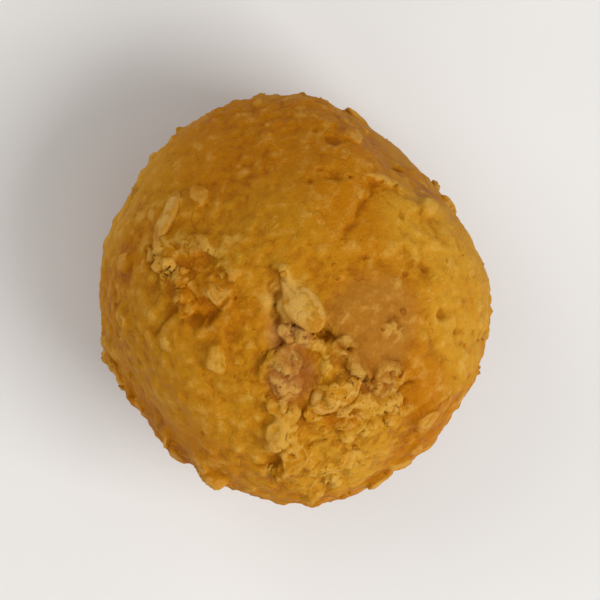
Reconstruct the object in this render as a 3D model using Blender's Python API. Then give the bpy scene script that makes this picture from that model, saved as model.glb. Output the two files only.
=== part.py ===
"""A boondi ladoo: mashed chickpea-flour boondi bound with syrup, pressed and rolled by hand into a ball.

It is one solid. Metres, +Z up, with the origin under the middle of the ball, on the surface it rests on.
Seen from above, +X is to the right and +Y is away from the viewer. A place on the ball is given by its
bearing round the ball, anticlockwise from +X, and its angle down from the crown, both in degrees.
"""

import math
import random

import bmesh
import bpy
from mathutils import Matrix, Vector, noise
from mathutils.kdtree import KDTree

MM = 0.001

# The ball as rolled, before its relief
WIDTH = 44.8 * MM
DEPTH = 47.2 * MM
HEIGHT = 39.2 * MM
WAIST_HEIGHT = 18.8 * MM
HALF_AXES = Vector((WIDTH / 2, DEPTH / 2, HEIGHT - WAIST_HEIGHT))
CENTRE = Vector((0, 0, WAIST_HEIGHT))

# Flats left by the palm: bearing, angle down, and distance from the centre
PALM_FLATS = (
    (49, 80, 19.6 * MM),
    (27, 82, 21.1 * MM),
    (318, 82, 22.2 * MM),
    (212, 74, 22.0 * MM),
    (118, 50, 20.9 * MM),
    (300, 58, 21.6 * MM),
    (255, 114, 21.4 * MM),
)
PALM_ROUNDING = 3.2 * MM

# Lumps in the pressed mass: size across and height
LUMPS = ((14 * MM, 0.6 * MM), (6 * MM, 0.4 * MM))

# Broken pieces of the mass, each at its own height with a crease round it
BREAK_SIZE = 4.6 * MM
BREAK_CREASE = 0.28  # of their size
BREAK_RISE_PRESSED = 0.12 * MM
BREAK_RISE_LOOSE = 0.75 * MM
BREAK_LEAST = 0.3  # of that rise, on the lowest piece
BREAK_MIXING = 3.7  # how fast the rise changes from piece to piece

# The mashed boondi that cover the whole surface, as bumps
BUMP_COUNT = 760
BUMP_RADIUS = (1.25 * MM, 1.95 * MM)
BUMP_RISE_PRESSED = 0.14 * MM
BUMP_RISE_LOOSE = 0.45 * MM
BUMP_LEAST = 0.4  # of that rise, on the lowest bump
BUMP_JITTER = 0.45  # of their spacing

# How loose the surface is, from 0 where the palm pressed it smooth to 1 where it crumbles and has worn lower
LOOSE_USUAL = 0.35
LOOSE_SWING = 0.55
LOOSE_SIZE = 9.5 * MM
LOOSE_WORN = 0.8 * MM

# The loosest patches: bearing, angle down and reach, in degrees, with the share of it that is all loose
LOOSE_HEART = 0.45
LOOSE_PATCHES = (
    (258, 18, 24),
    (300, 36, 24),
    (272, 52, 26),
    (165, 46, 22),
    (350, 104, 20),
    (205, 108, 24),
    (100, 108, 22),
    (28, 116, 22),
)

# Cracks: corners as bearing and angle down, then half width and depth
CRACKS = (
    (((65, 44), (66, 35), (72, 26), (74, 22)), 0.9 * MM, 0.6 * MM),
    (((199, 14), (232, 7), (296, 13)), 0.8 * MM, 1.4 * MM),
    (((308, 36), (322, 43)), 0.8 * MM, 1.3 * MM),
    (((303, 41), (310, 50)), 0.8 * MM, 1.2 * MM),
    (((260, 49), (274, 45)), 0.8 * MM, 1.1 * MM),
    (((172, 28), (186, 37), (181, 48), (190, 56)), 0.9 * MM, 1.0 * MM),
    (((92, 100), (104, 106), (111, 116)), 1.0 * MM, 1.4 * MM),
    (((204, 98), (213, 105), (211, 116)), 1.0 * MM, 1.5 * MM),
    (((296, 86), (309, 93), (320, 91)), 0.9 * MM, 1.3 * MM),
    (((12, 96), (20, 108), (33, 111)), 0.9 * MM, 1.4 * MM),
)

# Pits between grains: bearing, angle down, radius and depth
PITS = (
    (83, 56, 1.0 * MM, 0.6 * MM),
    (83, 42, 0.9 * MM, 0.5 * MM),
    (280, 36, 1.8 * MM, 1.0 * MM),
    (253, 18, 2.0 * MM, 0.8 * MM),
    (20, 37, 0.9 * MM, 0.9 * MM),
    (356, 43, 0.9 * MM, 0.9 * MM),
    (350, 50, 0.8 * MM, 0.8 * MM),
    (341, 57, 0.9 * MM, 0.9 * MM),
    (163, 15, 1.0 * MM, 1.0 * MM),
    (196, 30, 1.2 * MM, 0.8 * MM),
    (104, 76, 1.0 * MM, 0.9 * MM),
    (220, 60, 1.0 * MM, 0.9 * MM),
    (268, 84, 1.1 * MM, 1.0 * MM),
    (2, 90, 0.9 * MM, 0.8 * MM),
    (66, 98, 1.3 * MM, 1.3 * MM),
    (140, 104, 1.2 * MM, 1.2 * MM),
    (330, 112, 1.2 * MM, 1.2 * MM),
)

# Ledges where the mash has flaked: bearing and angle down of the lip, the way that it faces (0 is
# anticlockwise round the ball and 90 is up to the crown), then its length, the depth behind it, and height
LEDGES = (
    (199, 6, -19, 3.6 * MM, 4.0 * MM, 0.6 * MM),
    (283, 27, -58, 4.6 * MM, 3.0 * MM, 0.6 * MM),
    (307, 42, -107, 3.4 * MM, 2.0 * MM, 0.7 * MM),
    (298, 23, -138, 2.8 * MM, 1.8 * MM, 0.5 * MM),
    (257, 35, 13, 3.8 * MM, 2.6 * MM, 0.7 * MM),
    (254, 45, -44, 3.6 * MM, 2.6 * MM, 0.7 * MM),
    (143, 17, -33, 3.2 * MM, 2.2 * MM, 0.5 * MM),
    (172, 46, -60, 4.4 * MM, 3.0 * MM, 0.6 * MM),
    (160, 32, -20, 3.4 * MM, 2.4 * MM, 0.6 * MM),
    (202, 102, -80, 4.6 * MM, 3.2 * MM, 0.9 * MM),
    (221, 113, -120, 3.6 * MM, 2.6 * MM, 0.7 * MM),
    (98, 102, -70, 4.2 * MM, 3.0 * MM, 0.8 * MM),
    (352, 100, -95, 4.0 * MM, 2.8 * MM, 0.8 * MM),
    (28, 112, -60, 3.8 * MM, 2.6 * MM, 0.7 * MM),
)
LEDGE_ENDS = (0.3, 0.5)  # where a lip starts to fade and ends, from its middle, as shares of its length
LEDGE_HOLLOW = 1.8 * MM  # how far the hollow in front of a lip reaches
LEDGE_DROP = 0.6  # how deep it is there, as a share of the ledge's height

# Whole boondi that stand out of the mass
PEARL_COUNT = 16
PEARL_RADIUS = (1.2 * MM, 1.6 * MM)
PEARL_SHOWING = (0.25, 0.5)  # of the radius, beyond the surface round it
PEARL_SQUASH = (0.8, 1.15)
PEARL_SPACING = 3.9 * MM
PEARL_LOWEST = 116  # degrees down from the crown

# Dried melon seeds, each with one edge sunk: bearing, angle down, turn, lean along and lean across
SEED_LENGTH = 7.2 * MM
SEED_WIDTH = 3.8 * MM
SEED_THICKNESS = 1.5 * MM
SEED_NARROWING = 0.45  # of the width, at the pointed end
SEED_SUNK = 0.5 * MM
SEEDS = (
    (165, 7, -130, 12, 4),
    (282, 26, 24, 4, -22),
    (150, 60, 20, -6, 20),
    (70, 102, 60, -6, -18),
    (338, 98, 15, 6, -18),
    (250, 108, 95, -6, 18),
)

FOOT_BLEND = 3.0 * MM  # height over which the relief fades out towards the foot
GRID = 60  # squares along each side of the cube that becomes the ball
MASS_TRIANGLES = 8600  # that the ball is thinned to, which leaves most of them where the relief is sharp
SEED_OF_CHANCE = 52
MASS_COLOUR = (0.52, 0.25, 0.04, 1)
MASS_ROUGHNESS = 0.62


def clear_scene():
    for thing in list(bpy.data.objects):
        bpy.data.objects.remove(thing)


def heading(bearing, down):
    """The unit direction at a bearing round the ball and an angle down from its crown, both in degrees."""
    bearing, down = math.radians(bearing), math.radians(down)
    return Vector((math.sin(down) * math.cos(bearing), math.sin(down) * math.sin(bearing), math.cos(down)))


def soft_min(a, b, rounding):
    """The smaller of two lengths, with the corner between them rounded."""
    overlap = max(rounding - abs(a - b), 0) / rounding
    return min(a, b) - overlap * overlap * rounding / 4


def smooth_step(value, low, high):
    share = min(max((value - low) / (high - low), 0), 1)
    return share * share * (3 - 2 * share)


def between(low, high, share):
    return low + (high - low) * share


def rolled_radius(direction):
    """How far the ball reaches that way from its centre, with the palm's flats but without any relief."""
    scaled = Vector(d / half for d, half in zip(direction, HALF_AXES))
    reach = 1 / scaled.length
    for bearing, down, distance in PALM_FLATS:
        facing = direction.dot(heading(bearing, down))
        if facing > 0:
            reach = soft_min(reach, distance / facing, PALM_ROUNDING)
    return reach


def rolled_point(direction):
    return CENTRE + direction * rolled_radius(direction)


def looseness(direction):
    loose = LOOSE_USUAL + LOOSE_SWING * noise.noise(rolled_point(direction) / LOOSE_SIZE)
    for bearing, down, reach in LOOSE_PATCHES:
        away = math.degrees(direction.angle(heading(bearing, down)))
        loose = max(loose, 1 - smooth_step(away, LOOSE_HEART * reach, reach))
    return min(max(loose, 0), 1)


def evenly_spread(count, chance, jitter):
    """Unit directions spread over the ball by the golden angle, each moved a little."""
    golden = math.pi * (3 - math.sqrt(5))
    spacing = math.sqrt(4 * math.pi / count)
    for i in range(count):
        z = 1 - (2 * i + 1) / count
        ring = math.sqrt(1 - z * z)
        spot = Vector((ring * math.cos(i * golden), ring * math.sin(i * golden), z))
        nudge = Vector(chance.uniform(-1, 1) for _ in range(3)) * jitter * spacing
        yield (spot + nudge).normalized()


def mashed_boondi(chance):
    """A tree of bump centres on the ball, and each one's radius and rise."""
    tree, bumps = KDTree(BUMP_COUNT), []
    for direction in evenly_spread(BUMP_COUNT, chance, BUMP_JITTER):
        rise = between(BUMP_RISE_PRESSED, BUMP_RISE_LOOSE, looseness(direction))
        tree.insert(rolled_point(direction), len(bumps))
        bumps.append((chance.uniform(*BUMP_RADIUS), rise * chance.uniform(BUMP_LEAST, 1)))
    tree.balance()
    return tree, bumps


def bump_height(point, tree, bumps):
    """The tallest bump at a point, each one a rounded cap."""
    height = 0
    for _, index, distance in tree.find_range(point, BUMP_RADIUS[1]):
        radius, rise = bumps[index]
        height = max(height, rise * (1 - (distance / radius) ** 2))
    return height


def lump_height(point):
    return sum(height * noise.noise(point / size) for size, height in LUMPS)


def break_height(point, loose):
    """The height of the broken piece at a point, which falls to nothing in the crease round it."""
    reaches, middles = noise.voronoi(point / BREAK_SIZE)
    inside = smooth_step(reaches[1] - reaches[0], 0, BREAK_CREASE)
    own = min(abs(noise.noise(middles[0] * BREAK_MIXING)) * 2, 1)
    return between(BREAK_RISE_PRESSED, BREAK_RISE_LOOSE, loose) * inside * between(BREAK_LEAST, 1, own)


def ledge_frames():
    """Each ledge's lip on the rolled ball, the ways across and along it, and its length, depth and height."""
    frames = []
    for bearing, down, facing, *sizes in LEDGES:
        direction = heading(bearing, down)
        turned = lying_on(rolled_point(direction), direction, facing)
        frames.append((turned.translation, turned.col[0].xyz, turned.col[1].xyz, *sizes))
    return frames


def ledge_height(point, ledges):
    """Rises behind each lip and drops in front of it."""
    height = 0
    for lip, facing, aside, length, depth, rise in ledges:
        ahead = (point - lip).dot(facing)
        beside = abs((point - lip).dot(aside))
        if not -depth < ahead < LEDGE_HOLLOW or (point - lip).length > length + depth:
            continue
        shown = rise * (1 - smooth_step(beside / length, *LEDGE_ENDS))
        if ahead < 0:
            height += shown * smooth_step(ahead, -depth, 0)
        else:
            height -= shown * LEDGE_DROP * (1 - ahead / LEDGE_HOLLOW)
    return height


def distance_to_line(point, corners):
    nearest = math.inf
    for start, end in zip(corners, corners[1:]):
        along = end - start
        share = min(max((point - start).dot(along) / along.length_squared, 0), 1)
        nearest = min(nearest, (start + along * share - point).length)
    return nearest


def carving():
    """Each crack's and pit's line or middle on the rolled ball, with its half width and depth."""
    cracks = []
    for corners, half_width, depth in CRACKS:
        cracks.append(([rolled_point(heading(*corner)) for corner in corners], half_width, depth))
    pits = [(rolled_point(heading(bearing, down)), radius, depth) for bearing, down, radius, depth in PITS]
    return cracks, pits


def carved_depth(point, cracks, pits):
    """How deep the deepest crack or pit is at a point."""
    depth = 0
    for corners, half_width, deepest in cracks:
        depth = max(depth, deepest * (1 - distance_to_line(point, corners) / half_width))
    for middle, radius, deepest in pits:
        depth = max(depth, deepest * (1 - ((point - middle).length / radius) ** 2))
    return depth


def surface_of(chance):
    """A function from a direction to the point of the finished surface that way."""
    tree, bumps = mashed_boondi(chance)
    cracks, pits = carving()
    ledges = ledge_frames()

    def surface(direction):
        point = rolled_point(direction)
        loose = looseness(direction)
        relief = lump_height(point) + break_height(point, loose) + bump_height(point, tree, bumps)
        relief += ledge_height(point, ledges) - LOOSE_WORN * loose - carved_depth(point, cracks, pits)
        return point + direction * relief * smooth_step(point.z, 0, FOOT_BLEND)

    return surface


def mesh_object(name, mesh):
    """An object from a bmesh, which is freed."""
    data = bpy.data.meshes.new(name)
    mesh.to_mesh(data)
    mesh.free()
    made = bpy.data.objects.new(name, data)
    bpy.context.scene.collection.objects.link(made)
    return made


def apply_modifiers(thing):
    graph = bpy.context.evaluated_depsgraph_get()
    applied = bpy.data.meshes.new_from_object(thing.evaluated_get(graph))
    thing.modifiers.clear()
    thing.data = applied


def make_mass(surface):
    """The ball itself: a cube divided into squares, blown up to a sphere and then to the surface."""
    mesh = bmesh.new()
    bmesh.ops.create_cube(mesh, size=2)
    bmesh.ops.subdivide_edges(mesh, edges=mesh.edges[:], cuts=GRID - 1, use_grid_fill=True)
    for vertex in mesh.verts:
        spread = Vector(math.tan(axis * math.pi / 4) for axis in vertex.co)
        vertex.co = surface(spread.normalized())
    bmesh.ops.triangulate(mesh, faces=mesh.faces[:])
    mass = mesh_object("ladoo", mesh)
    thinning = mass.modifiers.new("thinning", "DECIMATE")
    thinning.ratio = MASS_TRIANGLES / len(mass.data.polygons)
    apply_modifiers(mass)
    return mass


def lying_on(point, direction, turn, along=0, across=0):
    """A placing with Z along the direction, turned about it, then leaning along X and across it."""
    upright = direction.to_track_quat("Z", "Y").to_matrix().to_4x4()
    turned = Matrix.Rotation(math.radians(turn), 4, "Z")
    leaning = Matrix.Rotation(math.radians(along), 4, "Y") @ Matrix.Rotation(math.radians(across), 4, "X")
    return Matrix.Translation(point) @ upright @ turned @ leaning


def rounded_piece(name, half_sizes, placing, narrowing=0):
    """A ball of 80 faces stretched to three half sizes, drawn in towards its +X end, and placed."""
    mesh = bmesh.new()
    bmesh.ops.create_icosphere(mesh, subdivisions=2, radius=1)
    for vertex in mesh.verts:
        vertex.co.y *= 1 - narrowing * smooth_step(vertex.co.x, 0, 1)
    bmesh.ops.transform(mesh, matrix=placing @ Matrix.Diagonal(half_sizes).to_4x4(), verts=mesh.verts)
    return mesh_object(name, mesh)


def make_pearl(surface, direction, chance):
    """One whole boondi: a squashed ball, mostly sunk in the mass."""
    radius = chance.uniform(*PEARL_RADIUS)
    sunk = radius * (1 - chance.uniform(*PEARL_SHOWING))
    squashed = Vector(radius * chance.uniform(*PEARL_SQUASH) for _ in range(3))
    placing = lying_on(surface(direction) - direction * sunk, direction, chance.uniform(0, 360))
    return rounded_piece("pearl", squashed, placing)


def make_seed(surface, bearing, down, turn, along, across):
    """One melon seed: a flat oval with a pointed end, leaning so that one edge is pressed in."""
    direction = heading(bearing, down)
    half_sizes = Vector((SEED_LENGTH, SEED_WIDTH, SEED_THICKNESS)) / 2
    placing = lying_on(surface(direction) - direction * SEED_SUNK, direction, turn, along, across)
    return rounded_piece("seed", half_sizes, placing, SEED_NARROWING)


def pearl_spots(surface, chance):
    """Directions for the whole boondi: the loosest spots first, clear of the seeds and of each other."""
    taken = [surface(heading(bearing, down)) for bearing, down, *_ in SEEDS]
    tried = sorted(evenly_spread(BUMP_COUNT, chance, 1), key=looseness, reverse=True)
    spots = []
    for direction in tried:
        point = surface(direction)
        too_low = direction.z < math.cos(math.radians(PEARL_LOWEST))
        if too_low or any((point - other).length < PEARL_SPACING for other in taken):
            continue
        taken.append(point)
        spots.append(direction)
        if len(spots) == PEARL_COUNT:
            return spots
    return spots


def fuse(mass, pieces):
    """Joins the pieces to the mass by one union, and removes them."""
    group = bpy.data.collections.new("fused")
    for piece in pieces:
        bpy.context.scene.collection.objects.unlink(piece)
        group.objects.link(piece)
    union = mass.modifiers.new("fuse", "BOOLEAN")
    union.operation = "UNION"
    union.operand_type = "COLLECTION"
    union.collection = group
    union.solver = "EXACT"
    apply_modifiers(mass)
    for piece in pieces:
        bpy.data.objects.remove(piece)
    bpy.data.collections.remove(group)


def set_on_foot(mass):
    """Cuts the foot flat at the floor, and centres the ball's bounds over the origin."""
    mesh = bmesh.new()
    mesh.from_mesh(mass.data)
    everything = mesh.verts[:] + mesh.edges[:] + mesh.faces[:]
    cut = bmesh.ops.bisect_plane(mesh, geom=everything, plane_no=(0, 0, 1), clear_inner=True)
    rim = [item for item in cut["geom_cut"] if isinstance(item, bmesh.types.BMEdge)]
    bmesh.ops.edgeloop_fill(mesh, edges=rim)
    for axis in (0, 1):
        reach = [vertex.co[axis] for vertex in mesh.verts]
        middle = (min(reach) + max(reach)) / 2
        for vertex in mesh.verts:
            vertex.co[axis] -= middle
    bmesh.ops.recalc_face_normals(mesh, faces=mesh.faces[:])
    mesh.to_mesh(mass.data)
    mesh.free()


def mass_material():
    made = bpy.data.materials.new("pressed boondi")
    made.use_nodes = True
    shader = made.node_tree.nodes["Principled BSDF"]
    shader.inputs["Base Color"].default_value = MASS_COLOUR
    shader.inputs["Roughness"].default_value = MASS_ROUGHNESS
    shader.inputs["Metallic"].default_value = 0
    return made


def main():
    clear_scene()
    chance = random.Random(SEED_OF_CHANCE)
    surface = surface_of(chance)
    mass = make_mass(surface)
    pieces = [make_pearl(surface, direction, chance) for direction in pearl_spots(surface, chance)]
    pieces += [make_seed(surface, *seed) for seed in SEEDS]
    fuse(mass, pieces)
    set_on_foot(mass)
    mass.data.materials.clear()
    mass.data.materials.append(mass_material())
    mass.data.shade_smooth()


main()
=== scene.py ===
import math

import bpy
import numpy as np
from mathutils import Matrix, Vector, noise
from mathutils.bvhtree import BVHTree
from mathutils.kdtree import KDTree


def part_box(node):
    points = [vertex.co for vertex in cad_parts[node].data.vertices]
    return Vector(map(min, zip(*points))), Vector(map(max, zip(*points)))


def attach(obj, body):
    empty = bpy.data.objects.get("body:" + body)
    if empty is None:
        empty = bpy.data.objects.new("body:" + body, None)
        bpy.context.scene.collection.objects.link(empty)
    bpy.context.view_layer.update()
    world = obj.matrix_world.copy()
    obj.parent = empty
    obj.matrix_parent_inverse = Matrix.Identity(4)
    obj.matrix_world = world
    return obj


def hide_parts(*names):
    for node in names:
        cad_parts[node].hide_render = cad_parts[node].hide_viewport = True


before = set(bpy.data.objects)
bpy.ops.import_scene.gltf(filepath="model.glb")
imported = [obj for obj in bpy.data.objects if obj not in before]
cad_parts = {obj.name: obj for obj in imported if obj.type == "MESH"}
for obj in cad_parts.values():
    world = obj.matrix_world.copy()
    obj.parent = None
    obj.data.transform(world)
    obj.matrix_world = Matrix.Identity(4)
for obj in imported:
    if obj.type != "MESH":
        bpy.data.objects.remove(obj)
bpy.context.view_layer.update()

mm = 0.001
lowCorner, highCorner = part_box("ladoo")
ballCentre = np.array((0, 0, 18.8 * mm))  # the point that bearings and angles down from the crown are measured at
print("frame loaded, ladoo is %.1f mm high" % ((highCorner.z - lowCorner.z) / mm))


# Working tools

def selectOnly(thing):
    bpy.ops.object.select_all(action="DESELECT")
    thing.select_set(True)
    bpy.context.view_layer.objects.active = thing


def useModifier(thing, kind, **settings):  # adds a modifier and applies it
    selectOnly(thing)
    added = thing.modifiers.new(kind.lower(), kind)
    for name, value in settings.items():
        setattr(added, name, value)
    bpy.ops.object.modifier_apply(modifier=added.name)


def coordinatesOf(thing):
    found = np.empty(len(thing.data.vertices) * 3)
    thing.data.vertices.foreach_get("co", found)
    return found.reshape(-1, 3)


def normalsOf(thing):
    found = np.empty(len(thing.data.vertices) * 3)
    thing.data.vertex_normals.foreach_get("vector", found)
    return found.reshape(-1, 3)


def moveVerticesTo(thing, places):
    thing.data.vertices.foreach_set("co", places.ravel())
    thing.data.update()


def setAttribute(thing, name, values):
    layer = thing.data.attributes.get(name) or thing.data.attributes.new(name, "FLOAT", "POINT")
    layer.data.foreach_set("value", np.asarray(values, dtype=np.float32))


def setColours(thing, name, colours):
    layer = thing.data.attributes.get(name) or thing.data.attributes.new(name, "FLOAT_COLOR", "POINT")
    layer.data.foreach_set("color", np.column_stack((colours, np.ones(len(colours)))).ravel())


def shade(red, green, blue):  # a colour as a paint program gives it, 0 to 255, as linear light
    parts = np.array((red, green, blue)) / 255
    return np.where(parts <= 0.04045, parts / 12.92, ((parts + 0.055) / 1.055) ** 2.4)


def unit(vectors):
    return vectors / np.linalg.norm(vectors, axis=-1, keepdims=True)


def heading(bearing, down):  # a direction from the middle of the ball, in degrees
    bearing, down = math.radians(bearing), math.radians(down)
    return np.array((math.sin(down) * math.cos(bearing), math.sin(down) * math.sin(bearing), math.cos(down)))


def aheadAt(out, turn):  # a direction along the surface, turned by so many degrees
    upright = np.array(Vector(out).to_track_quat("Z", "Y").to_matrix())
    return upright[:, 0] * math.cos(math.radians(turn)) + upright[:, 1] * math.sin(math.radians(turn))


def smoothStep(value, low, high):
    share = np.clip((value - low) / (high - low), 0, 1)
    return share * share * (3 - 2 * share)


def noiseAt(points, size, shift=0.0):
    return np.array([noise.noise(Vector(point)) for point in points / size + shift])


def chipAt(points, size, shift=0.0):  # a chance value from -1 to 1 for each angular chip that a point falls in
    cells = [noise.voronoi(Vector(point))[1][0] for point in points / size + shift]
    return np.array([noise.noise(cell * 3.7) for cell in cells]) * 2


def patchShare(points, bearing, down, reach, heart):  # 1 in the heart of a patch, 0 past its reach
    away = np.degrees(np.arccos(np.clip(unit(points - ballCentre) @ heading(bearing, down), -1, 1)))
    return 1 - smoothStep(away, heart * reach, reach)


solidSides = [face.vertices[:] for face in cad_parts["ladoo"].data.polygons]
solidSurface = BVHTree.FromPolygons([corner.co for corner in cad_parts["ladoo"].data.vertices], solidSides)


def solidPoint(direction):  # where the solid's surface lies in a direction from the middle of the ball
    place = solidSurface.ray_cast(Vector(ballCentre + direction * 100 * mm), Vector(-direction))[0]
    return np.array(place)


def averagedOver(thing, values, rounds):  # each vertex takes the mean of its neighbours, again and again
    edges = np.empty(len(thing.data.edges) * 2, dtype=np.int64)
    thing.data.edges.foreach_get("vertices", edges)
    first, second = edges.reshape(-1, 2).T
    count = len(thing.data.vertices)
    neighbours = np.bincount(first, minlength=count) + np.bincount(second, minlength=count)
    for _ in range(rounds):
        total = np.zeros_like(values)
        for axis in range(values.shape[1]):
            column = values[:, axis]
            total[:, axis] = np.bincount(first, weights=column[second], minlength=count)
            total[:, axis] += np.bincount(second, weights=column[first], minlength=count)
        values = total / neighbours[:, None]
    return values


# How the mash lies: smooth where the palm pressed it, loose where it crumbles

mashZones = {
    "usualLooseness": 0.35,
    "swing": 0.55,
    "swingSize": 9.5 * mm,
    "heart": 0.45,  # share of a patch's reach that is loose all over
    "patches": (  # bearing, angle down from the crown and reach, in degrees
        (258, 18, 24),
        (298, 37, 24),
        (272, 52, 26),
        (165, 46, 17),
        (350, 104, 20),
        (205, 108, 24),
        (100, 108, 22),
        (28, 116, 22),
    ),
    "smears": (  # the same for places that the palm smeared smooth
        (346, 18, 20),
        (78, 40, 30),
        (324, 44, 11),
        (20, 74, 26),
        (222, 66, 18),
        (130, 72, 18),
        (310, 96, 22),
        (60, 100, 26),
        (170, 108, 24),
    ),
}


def smearAt(points):
    smeared = np.zeros(len(points))
    for bearing, down, reach in mashZones["smears"]:
        smeared = np.maximum(smeared, patchShare(points, bearing, down, reach, mashZones["heart"]))
    return smeared


def loosenessAt(points):
    loose = mashZones["usualLooseness"] + mashZones["swing"] * noiseAt(points, mashZones["swingSize"])
    loose *= 1 - 0.6 * smearAt(points)
    for bearing, down, reach in mashZones["patches"]:
        loose = np.maximum(loose, patchShare(points, bearing, down, reach, mashZones["heart"]))
    return np.clip(loose, 0, 1)


# The colour of the mash from place to place

mashColours = {
    "golden": shade(186, 124, 14),
    "syrupy": shade(181, 111, 0),
    "tan": shade(168, 108, 28),
    "yellow": shade(196, 138, 30),
    "brown": shade(170, 108, 44),
    "cream": shade(200, 150, 62),
    "swingSize": 11 * mm,
    "patches": (  # bearing, angle down from the crown and reach in degrees, share that is even all over, colour
        (92, 52, 38, 0.55, "syrupy"),
        (35, 46, 24, 0.3, "yellow"),
        (128, 30, 26, 0.4, "golden"),
        (344, 17, 20, 0.5, "tan"),
        (315, 25, 14, 0.45, "tan"),
        (356, 58, 32, 0.5, "yellow"),
        (285, 56, 24, 0.4, "yellow"),
        (218, 13, 9, 0.5, "brown"),
        (246, 23, 10, 0.5, "brown"),
        (166, 12, 9, 0.4, "cream"),
        (280, 36, 8, 0.4, "syrupy"),
        (324, 45, 12, 0.5, "syrupy"),
        (240, 100, 40, 0.4, "syrupy"),
        (150, 100, 36, 0.4, "yellow"),
        (200, 60, 26, 0.4, "golden"),
        (60, 110, 36, 0.4, "golden"),
        (15, 74, 26, 0.4, "yellow"),
    ),
}


def mashColourAt(points):
    share = smoothStep(noiseAt(points, mashColours["swingSize"], 4.2), -0.35, 0.45)[:, None]
    found = mashColours["golden"] * (1 - share) + mashColours["syrupy"] * share
    raggedness = noiseAt(points, 3 * mm, 1.7) * 0.25
    for bearing, down, reach, heart, name in mashColours["patches"]:
        share = np.clip(patchShare(points, bearing, down, reach, heart) + raggedness, 0, 1)
        share *= patchShare(points, bearing, down, reach * 1.2, 0.7)
        found = found * (1 - share[:, None]) + mashColours[name] * share[:, None]
    return found


# Materials

def shaderNode(tree, kind, inputs=None, **settings):
    made = tree.nodes.new("ShaderNode" + kind)
    for name, value in settings.items():
        setattr(made, name, value)
    for name, value in (inputs or {}).items():
        if isinstance(value, bpy.types.NodeSocket):
            tree.links.new(value, made.inputs[name])
        else:
            made.inputs[name].default_value = value
    return made


def mixed(tree, share, first, second, how="MIX"):  # a colour mix: 6 and 7 are its colour inputs, 2 its colour output
    inputs = {0: share, 6: first, 7: second}
    return shaderNode(tree, "Mix", inputs, data_type="RGBA", blend_type=how).outputs[2]


def reckoned(tree, how, *values):
    return shaderNode(tree, "Math", dict(enumerate(values)), operation=how).outputs[0]


def ranged(tree, value, low, high, toLow, toHigh):
    inputs = {"Value": value, "From Min": low, "From Max": high, "To Min": toLow, "To Max": toHigh}
    return shaderNode(tree, "MapRange", inputs, interpolation_type="SMOOTHSTEP").outputs[0]


def rgba(colour):
    return (*(float(part) for part in colour), 1)


def newMaterial(name):
    made = bpy.data.materials.new(name)
    made.use_nodes = True
    return made, made.node_tree, made.node_tree.nodes["Principled BSDF"]


mashFinish = {
    "dark": (0.78, 0.66, 0.35),  # what the ground colour is multiplied by at the low end of the tone: painted shade deep between the bits and in hollows, cracks and pits, and the darkest bits
    # the pale end: paler crumb, and painted highlights on broken lips and on bumps
    "light": shade(222, 176, 84),
    "lightShare": 0.45,
    "mottleSize": 1.5 * mm,
    "mottle": 0.4,
    "grainSize": 0.9 * mm,
    "grain": 0.5,
    "straySize": 0.8 * mm,  # the noise that makes the seams between bits uneven, and how far they stray
    "stray": 0.8 * mm,
    "bitSize": 1.5 * mm,
    "bitSwing": 0.2,  # how much the bits differ in paleness
    "seam": 0.14,  # how much darker the seams between them are painted: partly syrup, partly painted shade in the creases
    "seamWidth": 0.13,  # of a bit's size
    "seamShown": (0.45, 0.68),  # values of a slow noise from which seams start to show, and show in full
    "fineSize": 0.6 * mm,
    # the finer seams are darkened the same way, partly syrup and partly painted shade
    "fineSeam": 0.08,
    "roughness": (0.5, 0.68),
    "shine": 0.07,
    "seamDepth": 0.07 * mm,
    "bump": 0.22 * mm,
    "glow": 0.1,
    "glowReach": 0.6 * mm,
    "glowColour": (1.0, 0.5, 0.15),
}


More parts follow.
